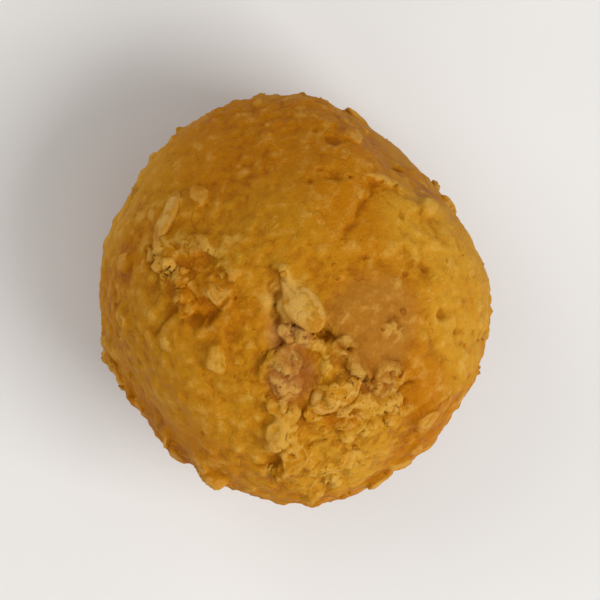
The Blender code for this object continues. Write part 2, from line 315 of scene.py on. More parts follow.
def mashMaterial(name):
    made, tree, shader = newMaterial(name)
    look = mashFinish
    place = shaderNode(tree, "TexCoord").outputs["Object"]
    ground = shaderNode(tree, "Attribute", attribute_name="ground").outputs["Color"]
    tone = shaderNode(tree, "Attribute", attribute_name="tone").outputs["Fac"]
    mottle = shaderNode(tree, "TexNoise", {"Vector": place, "Scale": 1 / look["mottleSize"], "Detail": 4,
                                           "Roughness": 0.6}).outputs[0]
    grain = shaderNode(tree, "TexNoise", {"Vector": place, "Scale": 1 / look["grainSize"], "Detail": 6,
                                          "Roughness": 0.72}).outputs[0]
    stray = shaderNode(tree, "TexNoise", {"Vector": place, "Scale": 1 / look["straySize"], "Detail": 2}).outputs["Color"]
    stray = shaderNode(tree, "VectorMath", {0: stray, 1: (0.5, 0.5, 0.5)}, operation="SUBTRACT").outputs[0]
    strayed = shaderNode(tree, "VectorMath", {0: stray, "Scale": look["stray"]}, operation="SCALE").outputs[0]
    strayed = shaderNode(tree, "VectorMath", {0: place, 1: strayed}, operation="ADD").outputs[0]
    bitTint = shaderNode(tree, "TexVoronoi", {"Vector": strayed, "Scale": 1 / look["bitSize"]}).outputs["Color"]
    bitTint = shaderNode(tree, "SeparateColor", {"Color": bitTint}).outputs[0]
    bitEdge = shaderNode(tree, "TexVoronoi", {"Vector": strayed, "Scale": 1 / look["bitSize"]},
                         feature="DISTANCE_TO_EDGE").outputs["Distance"]
    shown = shaderNode(tree, "TexNoise", {"Vector": place, "Scale": 1 / (2.2 * mm), "Detail": 2}).outputs[0]
    hidden = ranged(tree, shown, *look["seamShown"], 1, 0)
    bitBody = reckoned(tree, "MAXIMUM", ranged(tree, bitEdge, 0, look["seamWidth"], 0, 1), hidden)
    fineEdge = shaderNode(tree, "TexVoronoi", {"Vector": strayed, "Scale": 1 / look["fineSize"]},
                          feature="DISTANCE_TO_EDGE").outputs["Distance"]
    fineBody = ranged(tree, fineEdge, 0, look["seamWidth"] * 2, 0, 1)
    paleness = reckoned(tree, "ADD", tone, 0.5 * look["seam"] * 0.4)
    for pattern, strength in ((mottle, "mottle"), (grain, "grain"), (bitTint, "bitSwing")):
        swing = reckoned(tree, "MULTIPLY_ADD", pattern, look[strength], -look[strength] / 2)
        paleness = reckoned(tree, "ADD", paleness, swing)
    # seams between the bits are painted darker: partly syrup, partly painted shade in the creases
    for body, strength in ((bitBody, "seam"), (fineBody, "fineSeam")):
        paleness = reckoned(tree, "ADD", paleness, reckoned(tree, "MULTIPLY_ADD", body, look[strength], -look[strength]))
    # the dark end of the tone carries the painted shade
    dark = mixed(tree, 1.0, ground, rgba(look["dark"]), "MULTIPLY")
    light = mixed(tree, look["lightShare"], ground, rgba(look["light"]))
    colour = mixed(tree, ranged(tree, paleness, 0.05, 0.5, 0, 1), dark, ground)
    colour = mixed(tree, ranged(tree, paleness, 0.5, 0.98, 0, 1), colour, light)
    height = reckoned(tree, "MULTIPLY", bitBody, look["seamDepth"])
    height = reckoned(tree, "MULTIPLY_ADD", fineBody, look["seamDepth"] * 0.35, height)
    height = reckoned(tree, "MULTIPLY_ADD", grain, look["bump"], height)
    bump = shaderNode(tree, "Bump", {"Height": height, "Distance": 1.0, "Strength": 1.0})
    tree.links.new(colour, shader.inputs["Base Color"])
    tree.links.new(ranged(tree, paleness, 0.15, 0.8, *look["roughness"]), shader.inputs["Roughness"])
    tree.links.new(bump.outputs[0], shader.inputs["Normal"])
    shader.inputs["Specular IOR Level"].default_value = look["shine"]
    shader.inputs["Subsurface Weight"].default_value = look["glow"]
    shader.inputs["Subsurface Scale"].default_value = look["glowReach"]
    shader.inputs["Subsurface Radius"].default_value = look["glowColour"]
    return made


# Scattering

def roundedBy(directions, sides, reach, softness):  # how far a block cut by flat sides reaches, its edges softened
    facing = np.clip(directions @ sides.T, 0, None) / reach
    return np.minimum((facing ** softness).sum(axis=1) ** (-1 / softness), 1.3)


def unitBall(subdivisions):  # the corners and triangles of a ball 1 m in radius
    bpy.ops.object.select_all(action="DESELECT")
    bpy.ops.mesh.primitive_ico_sphere_add(subdivisions=subdivisions, radius=1)
    ball = bpy.context.object
    corners = unit(coordinatesOf(ball))
    triangles = np.array([face.vertices[:] for face in ball.data.polygons])
    bpy.data.objects.remove(ball)
    return corners, triangles


def unitBlock():  # a coarser ball 1 m in radius, of 24 squares
    bpy.ops.object.select_all(action="DESELECT")
    bpy.ops.mesh.primitive_cube_add(size=2)
    block = bpy.context.object
    bpy.ops.object.mode_set(mode="EDIT")
    bpy.ops.mesh.subdivide(number_cuts=1)
    bpy.ops.object.mode_set(mode="OBJECT")
    corners = unit(coordinatesOf(block))
    squares = np.array([face.vertices[:] for face in block.data.polygons])
    bpy.data.objects.remove(block)
    return corners, squares


def brokenShapes(count, ball, sideCount, softness, seed):  # rounded bits with flat sides, about 1 m in radius
    directions, triangles = ball
    chance = np.random.default_rng(seed)
    shapes = []
    for _ in range(count):
        sides = unit(chance.normal(size=(sideCount, 3)))
        reach = chance.uniform(0.68, 1.0, sideCount)
        shapes.append((directions * roundedBy(directions, sides, reach, softness)[:, None], triangles))
    return shapes


def flakeShapes(count, seed):  # thin slabs with a broken outline, about 1 m in radius
    directions, triangles = unitBall(3)
    chance = np.random.default_rng(seed)
    shapes = []
    for _ in range(count):
        turns = (np.arange(5) + chance.uniform(-0.3, 0.3, 5)) * 2 * math.pi / 5
        rim = np.column_stack((np.cos(turns), np.sin(turns), chance.uniform(-0.25, 0.25, 5)))
        slant = chance.uniform(-0.2, 0.2, 2)
        sides = np.vstack((unit(rim), unit(np.array((*slant, 1.0))), (0, 0, -1)))
        reach = np.append(chance.uniform(0.48, 0.85, 5), (0.24, 0.24))
        shapes.append((directions * roundedBy(directions, sides, reach, 24)[:, None], triangles))
    return shapes


def evenSpots(thing, wanted, apart, chance, weight=None):  # places and normals on a surface, none closer than apart
    mesh = thing.data
    mesh.calc_loop_triangles()
    corners = np.empty(len(mesh.loop_triangles) * 3, dtype=np.int64)
    mesh.loop_triangles.foreach_get("vertices", corners)
    corners = corners.reshape(-1, 3)
    points, normals = coordinatesOf(thing), normalsOf(thing)
    a, b, c = (points[corners[:, i]] for i in range(3))
    share = np.linalg.norm(np.cross(b - a, c - a), axis=1)
    if weight is not None:
        share = share * weight[corners].mean(axis=1)
    picked = chance.choice(len(share), size=wanted * 6, p=share / share.sum())
    u, v = chance.random((2, len(picked), 1))
    past = u + v > 1
    u, v = np.where(past, 1 - u, u), np.where(past, 1 - v, v)
    places = a[picked] + u * (b - a)[picked] + v * (c - a)[picked]
    facings = unit(normals[corners[picked]].mean(axis=1))
    kept, filled = [], {}
    cells = np.floor(places / apart).astype(int).tolist()
    for i, (x, y, z) in enumerate(cells):
        near = [j for dx in (-1, 0, 1) for dy in (-1, 0, 1) for dz in (-1, 0, 1)
                for j in filled.get((x + dx, y + dy, z + dz), ())]
        if near and np.linalg.norm(places[near] - places[i], axis=1).min() < apart:
            continue
        filled.setdefault((x, y, z), []).append(i)
        kept.append(i)
        if len(kept) == wanted:
            break
    return places[kept], facings[kept]


def turnedTo(facings, spins):  # axes along and across each bit, and out of the surface
    aside = unit(np.cross(facings, np.where(np.abs(facings[:, :1]) > 0.9, (0.0, 1.0, 0.0), (1.0, 0.0, 0.0))))
    across = np.cross(facings, aside)
    along = aside * np.cos(spins)[:, None] + across * np.sin(spins)[:, None]
    return np.stack((along, np.cross(facings, along), facings), axis=1)


def laidBits(name, shapes, places, axes, sizes, chance, tones):  # one mesh of all the bits, each turned and sized
    which = chance.integers(len(shapes), size=len(places))
    turned = axes * sizes[:, :, None]
    corners, triangles, shades, start = [], [], [], 0
    for i, place in enumerate(places):
        shape, faces = shapes[which[i]]
        corners.append(shape @ turned[i] + place)
        triangles.append(faces + start)
        shades.append(np.full(len(shape), tones[i]))
        start += len(shape)
    mesh = bpy.data.meshes.new(name)
    mesh.from_pydata(np.concatenate(corners).tolist(), [], np.concatenate(triangles).tolist())
    made = bpy.data.objects.new(name, mesh)
    bpy.context.scene.collection.objects.link(made)
    setAttribute(made, "tone", np.concatenate(shades))
    return made


# Melon seeds, dried and flat, each with one edge pressed into the mash

melonSeeds = {
    "length": 7.2 * mm,
    "width": 3.8 * mm,
    "thickness": 1.5 * mm,
    "narrowing": 0.45,  # of the width, at the pointed end
    "sunk": 0.75 * mm,  # the seed's middle, below the solid's own seed there
    "lies": (  # bearing, angle down from the crown, turn, lean along and lean across, in degrees
        (165, 7, -130, 12, 4),
        (282, 26, 24, 4, -22),
        (150, 60, 20, -6, 20),
        (70, 102, 60, -6, -18),
        (338, 98, 15, 6, -18),
        (250, 108, 95, -6, 18),
    ),
    "clear": 0.1 * mm,  # how far the mash lies below a seed's bare side
    "flesh": shade(204, 154, 72),
    "coat": shade(188, 128, 30),  # the syrup and crumbs that cover most of it
    "coatSize": 1.3 * mm,
    "bare": (-0.25, 0.35),  # from where across it, as shares of its half width, a seed starts to show
}


def seedPlacings():  # the middle and the three axes of each seed
    for bearing, down, turn, along, across in melonSeeds["lies"]:
        direction = heading(bearing, down)
        upright = Vector(direction).to_track_quat("Z", "Y").to_matrix()
        turned = upright @ Matrix.Rotation(math.radians(turn), 3, "Z")
        leaning = turned @ Matrix.Rotation(math.radians(along), 3, "Y") @ Matrix.Rotation(math.radians(across), 3, "X")
        yield solidPoint(direction) - direction * melonSeeds["sunk"], np.array(leaning)


def makeSeeds():
    shape, faces = unitBall(5)
    rim = smoothStep(np.linalg.norm(shape[:, :2], axis=1), 0.75, 1.0)
    shape[:, 1] *= 1 - melonSeeds["narrowing"] * smoothStep(shape[:, 0], 0, 1)
    shape[:, 2] *= 0.75 + 0.25 * smoothStep(-shape[:, 0], -1, 0.6)  # thickest at the round end
    half = np.array((melonSeeds["length"], melonSeeds["width"], melonSeeds["thickness"])) / 2
    corners, triangles = [], []
    for number, (middle, axes) in enumerate(seedPlacings()):
        own = shape * half
        uneven = noiseAt(own, 1.5 * mm, 5.3 * number)[:, None] * 0.2 * mm + noiseAt(own, 0.5 * mm, number)[:, None] * 0.05 * mm
        triangles.append(faces + number * len(shape))
        corners.append((own + unit(shape) * uneven) @ axes.T + middle)
    points = np.concatenate(corners)
    mesh = bpy.data.meshes.new("melonSeeds")
    mesh.from_pydata(points.tolist(), [], np.concatenate(triangles).tolist())
    made = bpy.data.objects.new("melonSeeds", mesh)
    bpy.context.scene.collection.objects.link(made)
    coat = smoothStep(noiseAt(points, melonSeeds["coatSize"], 2.2) + noiseAt(points, 0.5 * mm, 6.6) * 0.5, -0.12, 0.22)
    coat = np.maximum(coat, np.tile(rim, len(corners)) * 0.7)
    setAttribute(made, "tone", 0.66 - 0.2 * coat)
    setColours(made, "ground", melonSeeds["flesh"] * (1 - coat[:, None]) + melonSeeds["coat"] * coat[:, None])
    mesh.materials.append(mashMaterial("coatedSeed"))
    mesh.shade_smooth()
    return made


# The mass: the solid's own form, covered all over with mashed boondi and melted together

mashLook = {
    "coreVoxel": 0.45 * mm,
    "coreSmoothing": 5,
    "coreDrawnIn": 0.5 * mm,
    "ledge": 0.6 * mm,  # height of the steps where the mash broke
    "ledgeEdge": (0.38, 0.62),  # share of a step that its slope takes
    "chipSize": 3.0 * mm,
    "chipSwing": 0.24 * mm,
    "flakes": 70,
    "flakesApart": 2.8 * mm,
    "flakeWidth": (1.7 * mm, 3.0 * mm),  # half of it
    "flakeThickness": (1.3, 2.0),  # of the half width, where the slab is about a fifth of it thick each way
    "flakeLean": 10,  # degrees, at most
    "chosenFlakes": (  # bearing, angle down and turn in degrees, then half the length and half the width
        (300, 19, 48, 1.9 * mm, 1.1 * mm),
        (228, 21, 82, 2.2 * mm, 1.3 * mm),
        (255, 46, 16, 2.4 * mm, 1.5 * mm),
        (304, 34, -8, 1.8 * mm, 0.9 * mm),
        (245, 32, 95, 2.2 * mm, 1.2 * mm),
    ),
    "chosenRise": 0.3 * mm,
    "bits": 5200,
    "bitsApart": 0.78 * mm,
    "bitRadius": (0.5 * mm, 1.0 * mm),
    "bitHeight": (0.6, 1.0),  # of its radius
    "risePressed": (0.0 * mm, 0.25 * mm),
    "riseLoose": (0.0 * mm, 0.22 * mm),
    "meltVoxel": 0.33 * mm,  # the voxel size that the mass is melted at; keeps the mass under 200000 triangles
    "palmSmoothing": 60,  # rounds that turn the core into the smooth surface that the palm left
    "palmTop": 0.12 * mm,  # how high above the smoothed core the tops were pressed flat
    "topGive": 0.3,  # share of what stood above that, that is left
    "smearGive": 0.4,  # share of all the relief that is left where the palm smeared it
    "looseGive": 0.5,  # share of all the fine relief that is left where the mash is loose
    "plates": (  # broken plates of mash: their size, how much they differ in height, and how far they tilt
        (4.2 * mm, 0.32 * mm, 0.5 * mm),
        (2.4 * mm, 0.09 * mm, 0.15 * mm),
    ),
    "plateCrease": 0.1,  # of their size, where one ends and the next begins
    "creaseDepth": 0.09,  # of their size
    "rubbleSize": 0.7 * mm,  # the finest relief, and how high it is
    "rubble": (0.04 * mm, 0.07 * mm),  # where the mash was pressed, and where it is loose
    "gap": (0.05 * mm, 0.2 * mm),  # how deep a narrow gap is that starts to fill with crumb, and that fills most
    "gapFilled": 0.8,
}

shelves = {
    "chosen": (  # bearing and angle down of the lip, the way that it faces, length along it, depth behind it, height
        (199, 6, -19, 3.6 * mm, 4.0 * mm, 0.5 * mm),
        (283, 27, -58, 4.6 * mm, 3.0 * mm, 0.55 * mm),
        (307, 42, -107, 3.4 * mm, 2.0 * mm, 0.5 * mm),
        (298, 23, -138, 2.8 * mm, 1.6 * mm, 0.45 * mm),
        (257, 35, 13, 3.8 * mm, 2.6 * mm, 0.5 * mm),
        (254, 45, -44, 3.6 * mm, 2.6 * mm, 0.5 * mm),
        (143, 17, -33, 3.2 * mm, 2.2 * mm, 0.4 * mm),
        (232, 22, -70, 3.0 * mm, 2.2 * mm, 0.35 * mm),
        (172, 46, -60, 4.4 * mm, 3.0 * mm, 0.25 * mm),
        (160, 32, -20, 3.4 * mm, 2.4 * mm, 0.25 * mm),
        (202, 102, -80, 4.6 * mm, 3.2 * mm, 0.5 * mm),
        (221, 113, -120, 3.6 * mm, 2.6 * mm, 0.5 * mm),
        (98, 102, -70, 4.2 * mm, 3.0 * mm, 0.5 * mm),
        (352, 100, -95, 4.0 * mm, 2.8 * mm, 0.5 * mm),
        (28, 112, -60, 3.8 * mm, 2.6 * mm, 0.5 * mm),
    ),
    "scattered": 40,  # more of them, where the mash is loose
    "apart": 3.2 * mm,
    "length": (2.2 * mm, 4.8 * mm),
    "depth": (1.2 * mm, 2.6 * mm),
    "height": (0.2 * mm, 0.4 * mm),
    "edge": 0.25 * mm,  # how wide the broken edge is
    "hollow": 1.5 * mm,  # how far the hollow in front of it reaches
    "drop": 0.8,  # how deep that is, as a share of the height
    "overhang": 0.25 * mm,
    "ragged": 0.7 * mm,
    "raggedSize": 1.4 * mm,
}

cracks = {
    "lines": (  # corners as bearing and angle down from the crown in degrees, then half width and depth
        (((65, 44), (66, 35), (72, 26), (74, 22)), 0.5 * mm, 0.25 * mm),
        (((175, 16), (189, 16), (216, 9), (284, 9), (300, 14)), 0.42 * mm, 1.0 * mm),
        (((308, 36), (322, 43)), 0.36 * mm, 1.0 * mm),
        (((303, 41), (310, 50)), 0.36 * mm, 0.9 * mm),
        (((260, 49), (274, 45)), 0.36 * mm, 0.8 * mm),
        (((172, 28), (186, 37), (181, 48), (190, 56)), 0.4 * mm, 0.35 * mm),
        (((92, 100), (104, 106), (111, 116)), 0.4 * mm, 0.9 * mm),
        (((204, 98), (213, 105), (211, 116)), 0.4 * mm, 1.0 * mm),
        (((296, 86), (306, 95)), 0.3 * mm, 0.25 * mm),
        (((12, 96), (20, 108), (33, 111)), 0.4 * mm, 0.9 * mm),
    ),
    "raggedness": 0.8 * mm,
    "raggedSize": 1.8 * mm,
}

pits = {
    "chosen": (  # bearing and angle down from the crown in degrees, half width and depth
        (20, 37, 0.6 * mm, 0.6 * mm),
        (356, 43, 0.6 * mm, 0.6 * mm),
        (350, 50, 0.5 * mm, 0.6 * mm),
        (341, 57, 0.6 * mm, 0.6 * mm),
        (83, 56, 0.9 * mm, 0.4 * mm),
        (83, 42, 0.9 * mm, 0.4 * mm),
        (163, 15, 0.8 * mm, 0.7 * mm),
    ),
    "scattered": 60,
    "apart": 3.0 * mm,
    "halfWidth": (0.25 * mm, 0.7 * mm),
    "depth": (0.2 * mm, 0.6 * mm),
}

paleSpots = (  # bearing and angle down from the crown in degrees, and half width
    (2, 16, 0.8 * mm),
    (246, 13, 0.6 * mm),
    (91, 26, 0.6 * mm),
    (97, 23, 0.5 * mm),
)


def makeCore(solid):
    core = bpy.data.objects.new("ladooMass", solid.data.copy())
    bpy.context.scene.collection.objects.link(core)
    selectOnly(core)
    bpy.ops.object.mode_set(mode="EDIT")
    bpy.ops.mesh.select_all(action="SELECT")
    bpy.ops.mesh.remove_doubles(threshold=0.001 * mm)
    bpy.ops.object.mode_set(mode="OBJECT")
    useModifier(core, "REMESH", mode="VOXEL", voxel_size=mashLook["coreVoxel"])
    useModifier(core, "SMOOTH", factor=0.5, iterations=mashLook["coreSmoothing"])
    return core


def palmSurface(core):  # the smooth surface that the palm pressed the mash to
    palm = bpy.data.objects.new("palm", core.data.copy())
    bpy.context.scene.collection.objects.link(palm)
    useModifier(palm, "SMOOTH", factor=0.5, iterations=mashLook["palmSmoothing"])
    sides = [face.vertices[:] for face in palm.data.polygons]
    surface = BVHTree.FromPolygons(coordinatesOf(palm).tolist(), sides)
    bpy.data.objects.remove(palm)
    return surface


def heightsOver(surface, points):  # how far each point lies above a surface, and which way is out there
    above, outward = np.empty(len(points)), np.empty_like(points)
    for i, point in enumerate(points):
        place, normal, _, _ = surface.find_nearest(point)
        outward[i] = normal
        above[i] = (Vector(point) - place).dot(normal)
    return above, outward


def breakLedges(core, palm):  # turns the slopes of the loose patches into small steps with broken edges
    points = coordinatesOf(core)
    above, outward = heightsOver(palm, points)
    strayed = points + noiseAt(points, 1.1 * mm, 2.3)[:, None] * 0.5 * mm
    level = (above + chipAt(strayed, mashLook["chipSize"]) * mashLook["chipSwing"]) / mashLook["ledge"] + 0.5
    stepped = (np.floor(level) + smoothStep(level % 1, *mashLook["ledgeEdge"]) - 0.5) * mashLook["ledge"]
    share = smoothStep(loosenessAt(points), 0.45, 0.8)
    moved = np.clip(stepped - above, -0.7 * mm, 0.5 * mm) * share
    moveVerticesTo(core, points + outward * moved[:, None])


def addFlakes(core, chance):  # slabs of mash that stand off where it crumbles
    loose = loosenessAt(coordinatesOf(core))
    places, facings = evenSpots(core, mashLook["flakes"], mashLook["flakesApart"], chance, loose ** 3)
    radius = chance.uniform(*mashLook["flakeWidth"], len(places))
    sizes = np.stack((radius, radius * chance.uniform(0.55, 0.9, len(places)),
                      radius * chance.uniform(*mashLook["flakeThickness"], len(places))), axis=1)
    lean = np.radians(chance.uniform(-1, 1, (len(places), 3)) * mashLook["flakeLean"])
    axes = turnedTo(unit(facings + lean), chance.uniform(0, 2 * math.pi, len(places)))
    middles = places + facings * chance.uniform(-0.2, 0.2, (len(places), 1)) * mm
    for bearing, down, turn, halfLength, halfWidth in mashLook["chosenFlakes"]:
        out = heading(bearing, down)
        along = aheadAt(out, turn)
        middles = np.vstack((middles, solidPoint(out) + out * mashLook["chosenRise"]))
        axes = np.concatenate((axes, [(along, np.cross(out, along), out)]))
        sizes = np.vstack((sizes, (halfLength, halfWidth, halfWidth * mashLook["flakeThickness"][0])))
    flakes = laidBits("flakes", flakeShapes(10, 31), middles, axes, sizes, chance, np.full(len(middles), 0.5))
    return flakes, (middles, axes, sizes)


def addBits(mass, flakes, chance):  # covers the core with mashed boondi and melts all of it together
    places, facings = evenSpots(mass, mashLook["bits"], mashLook["bitsApart"], chance)
    loose = loosenessAt(places)
    radius = chance.uniform(*mashLook["bitRadius"], len(places))
    height = radius * chance.uniform(*mashLook["bitHeight"], len(places))
    low = mashLook["risePressed"][0] + (mashLook["riseLoose"][0] - mashLook["risePressed"][0]) * loose
    high = mashLook["risePressed"][1] + (mashLook["riseLoose"][1] - mashLook["risePressed"][1]) * loose
    rise = low + (high - low) * chance.random(len(places)) ** 1.3
    sizes = np.stack((radius, radius * chance.uniform(0.7, 1.1, len(places)), height), axis=1)
    middles = places - facings * (height * 0.85 - rise + mashLook["coreDrawnIn"])[:, None]
    axes = turnedTo(unit(facings + chance.normal(0, 0.2, facings.shape)), chance.uniform(0, 2 * math.pi, len(places)))
    tones = chance.normal(0.5, 0.2, len(places))
    bits = laidBits("bits", brokenShapes(12, unitBall(2), 10, 14, 20), middles, axes, sizes, chance, tones)
    moveVerticesTo(mass, coordinatesOf(mass) - normalsOf(mass) * mashLook["coreDrawnIn"])
    selectOnly(mass)
    bits.select_set(True)
    flakes.select_set(True)
    bpy.ops.object.join()
    useModifier(mass, "REMESH", mode="VOXEL", voxel_size=mashLook["meltVoxel"])
    print("mash melted,", len(mass.data.polygons), "faces")
    return middles, sizes, tones


def pressMash(mass, palm):  # flattens the tops where the palm pressed the mash, and smears it smooth here and there
    points = coordinatesOf(mass)
    above, outward = heightsOver(palm, points)
    loose = smoothStep(loosenessAt(points), 0.3, 0.85)
    over = np.maximum(above - mashLook["palmTop"], 0)
    pressed = above - over * (1 - mashLook["topGive"]) * (1 - loose)
    pressed *= 1 - (1 - mashLook["smearGive"]) * smearAt(points) * (1 - loose)
    pressed *= 1 - (1 - mashLook["looseGive"]) * loose
    rubble = mashLook["rubble"][0] + (mashLook["rubble"][1] - mashLook["rubble"][0]) * loose
    pressed += rubble * (noiseAt(points, mashLook["rubbleSize"], 6.1) + chipAt(points, mashLook["rubbleSize"] * 1.6, 1.9))
    moveVerticesTo(mass, points + outward * (pressed - above)[:, None])


def platesAt(points, size, swing, tilt):  # each plate has its own height and slope, and a crease round it
    height = np.empty(len(points))
    for i, point in enumerate(points / size):
        reaches, middles = noise.voronoi(Vector(point))
        middle = middles[0]
        own = noise.noise(middle * 3.7) * 2 * swing
        slope = noise.noise_vector(middle * 2.9 + Vector((7.1, 0, 0))) * 2 * tilt
        crease = max(1 - (reaches[1] - reaches[0]) / mashLook["plateCrease"], 0)
        height[i] = own + slope.dot(Vector(point) - middle) - crease * mashLook["creaseDepth"] * size
    return height


def breakPlates(mass):  # breaks the mash into ragged plates where it is loose
    points = coordinatesOf(mass)
    share = 0.12 + 0.88 * smoothStep(loosenessAt(points), 0.35, 0.85)
    share *= 1 - smearAt(points)
    wobble = np.stack([noiseAt(points, 1.3 * mm, shift) for shift in (2.2, 9.4, 15.8)], axis=1)
    strayed = points + wobble * 0.9 * mm
    height = sum(platesAt(strayed + size, size, swing, tilt) for size, swing, tilt in mashLook["plates"])
    height = np.clip(height, -0.6 * mm, 0.6 * mm) * share
    moveVerticesTo(mass, points + unit(points - ballCentre) * height[:, None])
    # the tone it gives back is painted light and shade by height: paler on raised plates, darker on sunk ones and in
    # the creases between them
    return np.clip(height / (0.5 * mm), -1, 1) * 0.12


def shelfFrames(mass, chance):  # each lip's place, the ways out, ahead and along it, and its sizes
    frames = []
    for bearing, down, facing, *sizes in shelves["chosen"]:
        out = heading(bearing, down)
        frames.append((solidPoint(out), out, aheadAt(out, facing), *sizes))
    weight = smoothStep(loosenessAt(coordinatesOf(mass)), 0.5, 0.9)
    places, facings = evenSpots(mass, shelves["scattered"], shelves["apart"], chance, weight + 0.01)
    aheads = turnedTo(facings, chance.uniform(0, 2 * math.pi, len(places)))[:, 0]
    for place, out, ahead in zip(places, facings, aheads):
        sizes = [chance.uniform(*shelves[name]) for name in ("length", "depth", "height")]
        frames.append((place, out, ahead, *sizes))
    return frames


def breakShelves(mass, chance):  # lifts the mash behind each lip and hollows it in front, and gives the tone there: paler raised mash, a painted highlight along the lip and painted shade in the hollow
    points = coordinatesOf(mass)
    ragged = noiseAt(points, shelves["raggedSize"], 8.8) * shelves["ragged"]
    ragged += chipAt(points, shelves["raggedSize"], 3.3) * shelves["ragged"] * 0.6
    lift, moved, paleness = np.zeros(len(points)), np.zeros_like(points), np.zeros(len(points))
    for place, out, ahead, length, depth, height in shelfFrames(mass, chance):
        rel = points - place
        near = np.flatnonzero(np.linalg.norm(rel, axis=1) < length + depth)
        rel = rel[near]
        v = rel @ ahead + ragged[near]
        w = rel @ np.cross(out, ahead) + ragged[near] * 0.7
        window = 1 - smoothStep(np.abs(w) / length, 0.32, 0.52)
        behind = 1 - smoothStep(v, 0, shelves["edge"])
        raised = window * behind * smoothStep(v, -depth, -0.1 * depth)
        hollow = window * (1 - behind) * (1 - smoothStep(v, shelves["edge"], shelves["hollow"]))
        lift[near] += height * (raised - shelves["drop"] * hollow)
        lip = raised * smoothStep(v, -0.6 * mm, 0)
        moved[near] += lip[:, None] * shelves["overhang"] * ahead
        # paler raised mash, painted highlight along the lip, painted shade in the hollow in front
        paleness[near] += (0.16 * raised + 0.14 * lip - 0.26 * hollow) * min(height / (0.4 * mm), 1)
    lift = np.clip(lift, -0.8 * mm, 0.7 * mm)
    moveVerticesTo(mass, points + normalsOf(mass) * lift[:, None] + moved)
    return np.clip(paleness, -0.35, 0.35)


def fillGaps(mass):  # crumb and syrup lie in the narrowest and deepest gaps
    points, normals = coordinatesOf(mass), normalsOf(mass)
    level = averagedOver(mass, points, 8)
    share = smoothStep(np.sum((level - points) * normals, axis=1), *mashLook["gap"]) * mashLook["gapFilled"]
    moveVerticesTo(mass, points + (level - points) * share[:, None])


def clearSeeds(mass):  # the mash leaves each seed's raised side bare and lies over its sunk one
    points = coordinatesOf(mass)
    ragged = noiseAt(points, 1.2 * mm, 4.4) * 0.7
    half = np.array((melonSeeds["length"], melonSeeds["width"], melonSeeds["thickness"])) / 2
    for (middle, axes), (*_, across) in zip(seedPlacings(), melonSeeds["lies"]):
        local = (points - middle) @ axes / half
        local[:, 1] /= 1 - melonSeeds["narrowing"] * smoothStep(local[:, 0], 0, 1)
        reach = local[:, 0] ** 2 + local[:, 1] ** 2
        top = np.sqrt(np.clip(1 - reach, 0, 1)) * half[2]
        inside = (1 - smoothStep(reach, 1.0, 1.35)) * (local[:, 2] > -1.5) * (local[:, 2] < 3)
        bare = smoothStep(math.copysign(1, across) * local[:, 1] + ragged, *melonSeeds["bare"])
        over = np.maximum(local[:, 2] * half[2] - top + melonSeeds["clear"], 0)
        points = points - axes[:, 2] * (over * inside * bare)[:, None]
    moveVerticesTo(mass, points)


def carveCracks(mass):
    points = coordinatesOf(mass)
    outward = unit(points - ballCentre)
    wobble = np.stack([noiseAt(points, cracks["raggedSize"], shift) for shift in (3.1, 7.7, 12.3)], axis=1)
    strayed = points + wobble * cracks["raggedness"]
    depth = np.zeros(len(points))
    for corners, halfWidth, deepest in cracks["lines"]:
        line = [solidPoint(heading(*corner)) for corner in corners]
        for start, end in zip(line, line[1:]):
            along = end - start
            share = np.clip((strayed - start) @ along / (along @ along), 0, 1)
            away = start + share[:, None] * along - strayed
            away -= outward * np.sum(away * outward, axis=1)[:, None]  # only the distance along the surface counts
            near = np.linalg.norm(points - (start + end) / 2, axis=1) < 12 * mm
            depth = np.maximum(depth, near * deepest * (1 - smoothStep(np.linalg.norm(away, axis=1), 0, halfWidth)))
    moveVerticesTo(mass, points - outward * depth[:, None])
    # the tone it gives back is painted shade, darker the deeper the crack
    return -0.25 * np.clip(depth / (0.8 * mm), 0, 1)


def carvePits(mass, chance):
    points = coordinatesOf(mass)
    outward = unit(points - ballCentre)
    scattered, _ = evenSpots(mass, pits["scattered"], pits["apart"], chance)
    every = [(solidPoint(heading(bearing, down)), *sizes) for bearing, down, *sizes in pits["chosen"]]
    every += [(place, chance.uniform(*pits["halfWidth"]), chance.uniform(*pits["depth"])) for place in scattered]
    tree = KDTree(len(points))
    for i, point in enumerate(points):
        tree.insert(point, i)
    tree.balance()
    depth = np.zeros(len(points))
    for middle, halfWidth, deepest in every:
        for _, i, away in tree.find_range(middle, halfWidth * 2.2):
            stretched = away * (1 + 0.9 * noise.noise(Vector(points[i]) / (0.9 * mm)))
            depth[i] = max(depth[i], deepest * (1 - smoothStep(stretched, 0.1 * halfWidth, halfWidth * 1.3)))
    moveVerticesTo(mass, points - outward * depth[:, None])
    # the tone it gives back is painted shade, darker the deeper the pit
    return -0.22 * np.clip(depth / (0.5 * mm), 0, 1)


def flattenFoot(mass):  # nothing hangs below the surface that the ball rests on
    points = coordinatesOf(mass)
    points[:, 2] = np.maximum(points[:, 2], 0)
    moveVerticesTo(mass, points)


def flakePaleness(mass, flakes):  # flakes are paler than the mash round them
    points = coordinatesOf(mass)
    middles, axes, sizes = flakes
    paleness = np.zeros(len(points))
    for middle, own, size in zip(middles, axes, sizes):
        near = np.flatnonzero(np.linalg.norm(points - middle, axis=1) < size[0] * 1.1)
        local = (points[near] - middle) @ own.T / (size * (1, 1, 0.24))
        flat = np.linalg.norm(local[:, :2], axis=1)
        paleness[near] = np.maximum(paleness[near], (1 - smoothStep(flat, 0.75, 1)) * smoothStep(local[:, 2], -0.4, 0.6))
    return 0.2 * paleness


